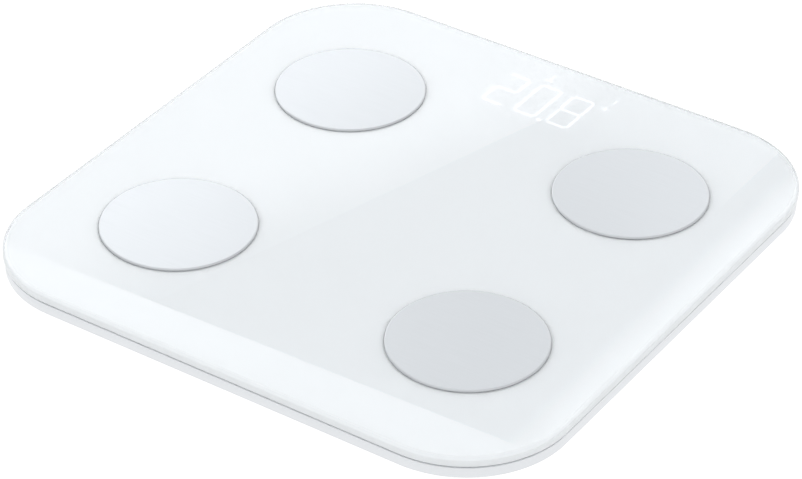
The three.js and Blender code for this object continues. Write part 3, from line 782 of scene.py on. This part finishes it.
# ---- parts inside ----
class SCALE_OT_inside(bpy.types.Operator):
    """Gives the boards, cells, leads, batteries and contacts inside their finishes"""

    bl_idname = "scale.inside"
    bl_label = "Parts inside"

    def execute(self, context):
        white = moulded_plastic("glass_filled_nylon", linear("#eef0f0"), 0.5, 0.4 * MM, 0.01 * MM)
        grey = moulded_plastic("acetal_bracket", linear("#d3d6d7"), 0.45, 0.4 * MM, 0.01 * MM)
        black = moulded_plastic("epoxy_package", linear("#1d1e20"), 0.55, 0.3 * MM, 0.01 * MM)
        board = moulded_plastic("green_solder_mask", linear("#1d5c37"), 0.38, 0.8 * MM, 0.008 * MM)
        film = moulded_plastic("frosted_polyester_film", linear("#e1e5e7"), 0.6, 0.3 * MM, 0.004 * MM)
        sleeve = moulded_plastic("printed_shrink_sleeve", linear("#2c3338"), 0.3, 2 * MM, 0.004 * MM)
        nickel = plated_metal("nickel_plate", linear("#c9c7bf"), 0.25)
        zinc = plated_metal("zinc_plated_steel", linear("#9da1a4"), 0.38)
        tinned = plated_metal("tinned_shield", linear("#b9bcbe"), 0.3)
        leads = {
            "red": moulded_plastic("red_pvc_sleeving", linear("#ad241f"), 0.4, 0.5 * MM, 0.004 * MM),
            "black": moulded_plastic("black_pvc_sleeving", linear("#1b1c1e"), 0.4, 0.5 * MM, 0.004 * MM),
            "white": moulded_plastic("white_pvc_sleeving", linear("#e4e4e1"), 0.4, 0.5 * MM, 0.004 * MM),
        }
        finishes = {
            "main_board": board, "display_housing": white, "display_film": film, "controller_chip": black,
            "radio_module": tinned, "load_cell_header": white, "electrode_header": white,
            "battery_header": white, "unit_switch": black, "battery_lead_red": leads["red"],
            "battery_lead_black": leads["black"],
        }
        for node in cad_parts:
            if node.startswith(("board_screw_", "contact_", "electrode_nut_")):
                finishes[node] = nickel
            elif node.startswith("electrode_lead_"):
                finishes[node] = leads["white"]
            elif node.startswith("load_cell_lead_"):
                finishes[node] = leads["black"]
            elif node.startswith("load_cell_bracket_"):
                finishes[node] = grey
            elif node.startswith("load_cell_") and node != "load_cell_header":
                finishes[node] = zinc
            elif node in ("battery_1", "battery_2", "battery_3", "battery_4"):
                finishes[node] = sleeve
        for node, material in finishes.items():
            finish_node(node, material)
        return {"FINISHED"}


# ---- stage ----
# Angles in degrees, distance in metres; the target lies on the top of the glass.
CAMERA = {"azimuth": 34.256, "elevation": 35.172, "distance": 1.60923, "target": (8.943 * MM, -24.056 * MM)}
FOCAL_LENGTH = 155.09
SHIFT = 0.0101
CARD_RISE = 0.6  # height of the soft boxes over the glass, in metres
COOL_WHITE = "#fbfdff"


def camera_spot():
    azimuth, elevation = math.radians(CAMERA["azimuth"]), math.radians(CAMERA["elevation"])
    back = Vector((math.sin(azimuth) * math.cos(elevation), -math.cos(azimuth) * math.cos(elevation),
                   math.sin(elevation)))
    target = Vector((*CAMERA["target"], GLASS_HIGH.z))
    return target + back * CAMERA["distance"], back


def make_camera():
    spot, back = camera_spot()
    camera = bpy.data.objects.new("camera", bpy.data.cameras.new("camera"))
    bpy.context.scene.collection.objects.link(camera)
    camera.location = spot
    camera.rotation_euler = back.to_track_quat("Z", "Y").to_euler()
    camera.data.sensor_width = 36
    camera.data.lens = FOCAL_LENGTH
    camera.data.shift_x = SHIFT
    camera.data.clip_start = 0.05
    camera.data.clip_end = 50
    bpy.context.scene.camera = camera


def card_point(x, y, rise):
    """Where a card at one height over the glass must be, to be mirrored at a point of the glass."""
    spot, _ = camera_spot()
    eye = spot.z - GLASS_HIGH.z
    share = (rise + eye) / eye
    return Vector((spot.x + (x * MM - spot.x) * share, spot.y + (y * MM - spot.y) * share,
                   GLASS_HIGH.z + rise))


def soft_card(name, outline, rise, glow_nodes):
    """A card over the glass that shows only in its gloss.

    The outline holds the glass points, in millimetres, that mirror the card's corners.
    """
    mesh = bpy.data.meshes.new(name)
    points = [card_point(x, y, rise) for x, y in outline]
    mesh.from_pydata(points, [], [list(range(len(points)))])
    card = bpy.data.objects.new(name, mesh)
    bpy.context.scene.collection.objects.link(card)
    material = bpy.data.materials.new(name)
    material.use_nodes = True
    tree = material.node_tree
    tree.nodes.clear()
    output = add_node(tree, "ShaderNodeOutputMaterial")
    emission = add_node(tree, "ShaderNodeEmission", {"Color": linear(COOL_WHITE)})
    glow_nodes(tree, emission)
    tree.links.new(emission.outputs[0], output.inputs[0])
    material.cycles.emission_sampling = "NONE"
    mesh.materials.append(material)
    for rays in ("camera", "diffuse", "transmission", "volume_scatter", "shadow"):
        setattr(card, f"visible_{rays}", False)


def fading_glow(start, end, first, last):
    """A glow that fades from one point of the card to another."""
    def nodes(tree, emission):
        place = add_node(tree, "ShaderNodeTexCoord")
        run = end - start
        along = add_node(tree, "ShaderNodeVectorMath", {0: place.outputs["Object"], 1: start},
                         operation="SUBTRACT")
        share = add_node(tree, "ShaderNodeVectorMath",
                         {0: along.outputs["Vector"], 1: run / run.length_squared}, operation="DOT_PRODUCT")
        glow = add_node(tree, "ShaderNodeMapRange",
                        {"Value": share.outputs["Value"], "To Min": first, "To Max": last},
                        interpolation_type="SMOOTHSTEP")
        tree.links.new(glow.outputs["Result"], emission.inputs["Strength"])
    return nodes


def make_cards():
    """A dim card with brighter soft boxes below it, mirrored in the glass."""
    near = CARD_RISE
    wide, strip = 420, 190  # half widths, in millimetres on the glass
    dim, back_glow, left_glow, front_glow, right_glow = 1.1, 1.8, 2.55, 3.1, 3.0
    soft_card("dim_card", [(-wide, -wide), (wide, -wide), (wide, wide), (-wide, wide)], near + 0.02,
              fading_glow(card_point(60, 90, near), card_point(75, 150, near), dim, back_glow))
    soft_card("left_soft_box", [(-wide, -wide), (-137, -wide), (103, wide), (-wide, wide)], near,
              fading_glow(card_point(14, -6, near), card_point(-69, 29, near), dim, left_glow))
    front = [(-strip, -strip), (strip, -strip), (strip, -120), (-strip, -129)]
    soft_card("front_soft_box", front, near - 0.01,
              fading_glow(card_point(130, -130, near), card_point(-130, -130, near), 2.5, front_glow))
    inner = 122  # the right box's inner edge
    soft_card("right_soft_box", [(inner, -strip), (strip, -strip), (strip, strip), (inner, strip)],
              near - 0.005,
              fading_glow(card_point(132, 0, near), card_point(152, 0, near), dim, right_glow))


def make_floor():
    """A matt white floor, bright enough to lose the shadow, that is clear from below."""
    clear_selection()
    size, drop = 16, 0.05 * MM
    bpy.ops.mesh.primitive_plane_add(size=size, location=(0, 0, -drop))
    floor = name_piece("floor")
    material, tree, shader = new_material(
        "matt_white_floor", Roughness=0.95, Specular_IOR_Level=0.0, Emission_Strength=0.95)
    shader.inputs["Base Color"].default_value = linear("#6c6c6c")
    shader.inputs["Emission Color"].default_value = (1, 1, 1, 1)
    side = add_node(tree, "ShaderNodeNewGeometry")
    clear = add_node(tree, "ShaderNodeBsdfTransparent")
    mixed = add_node(tree, "ShaderNodeMixShader",
                     {0: side.outputs["Backfacing"], 1: shader.outputs["BSDF"], 2: clear.outputs["BSDF"]})
    tree.links.new(mixed.outputs["Shader"], tree.nodes["Material Output"].inputs["Surface"])
    assign(floor, material)


def make_light(name, spot, aim, size, power):
    light = bpy.data.objects.new(name, bpy.data.lights.new(name, "AREA"))
    light.data.shape = "SQUARE"
    light.data.size = size
    light.data.energy = power
    light.data.color = linear(COOL_WHITE)[:3]
    light.location = spot
    light.rotation_euler = (Vector(spot) - Vector(aim)).to_track_quat("Z", "Y").to_euler()
    light.visible_camera = False
    light.visible_glossy = False
    bpy.context.scene.collection.objects.link(light)


def make_world():
    """A white room that is brighter overhead than around."""
    world = bpy.data.worlds.new("white_room")
    world.use_nodes = True
    tree = world.node_tree
    background = tree.nodes["Background"]
    background.inputs["Color"].default_value = linear("#fcfdff")
    place = add_node(tree, "ShaderNodeTexCoord")
    split = add_node(tree, "ShaderNodeSeparateXYZ", {"Vector": place.outputs["Generated"]})
    around, overhead = 1.0, 1.52
    glow = add_node(tree, "ShaderNodeMapRange",
                    {"Value": split.outputs["Z"], "To Min": around, "To Max": overhead})
    tree.links.new(glow.outputs["Result"], background.inputs["Strength"])
    bpy.context.scene.world = world


class SCALE_OT_stage(bpy.types.Operator):
    """Makes the white floor, the room light, the soft boxes and the camera"""

    bl_idname = "scale.stage"
    bl_label = "Stage"

    def execute(self, context):
        context.scene.view_settings.view_transform = "Standard"
        make_floor()
        make_world()
        make_light("key_light", spot=(-1.4, 1.2, 2.2), aim=(0, 0, 0), size=2.4, power=8)
        make_cards()
        make_camera()
        return {"FINISHED"}


# ---- panel and registering ----
STEPS = (
    SCALE_OT_platform, SCALE_OT_electrodes, SCALE_OT_display, SCALE_OT_base, SCALE_OT_cover_and_button,
    SCALE_OT_feet, SCALE_OT_inside, SCALE_OT_stage,
)


class SCALE_PT_panel(bpy.types.Panel):
    """Lists the scale's sizes, colours and building steps"""

    bl_label = "Bathroom scale"
    bl_idname = "SCALE_PT_panel"
    bl_space_type = "VIEW_3D"
    bl_region_type = "UI"
    bl_category = "Scale"

    def draw(self, context):
        for group in (context.scene.scale_sizes, context.scene.scale_colours):
            column = self.layout.column()
            for key in group.__annotations__:
                column.prop(group, key)
        for step in STEPS:
            self.layout.operator(step.bl_idname)


CLASSES = (ScaleSizes, ScaleColours, *STEPS, SCALE_PT_panel)


def register():
    for cls in CLASSES:
        bpy.utils.register_class(cls)
    bpy.types.Scene.scale_sizes = bpy.props.PointerProperty(type=ScaleSizes)
    bpy.types.Scene.scale_colours = bpy.props.PointerProperty(type=ScaleColours)


def unregister():
    del bpy.types.Scene.scale_colours
    del bpy.types.Scene.scale_sizes
    for cls in reversed(CLASSES):
        bpy.utils.unregister_class(cls)


def main():
    register()
    bpy.ops.scale.platform()
    bpy.ops.scale.electrodes()
    bpy.ops.scale.display()
    bpy.ops.scale.base()
    bpy.ops.scale.cover_and_button()
    bpy.ops.scale.feet()
    bpy.ops.scale.inside()
    bpy.ops.scale.stage()


if __name__ == "__main__":
    main()
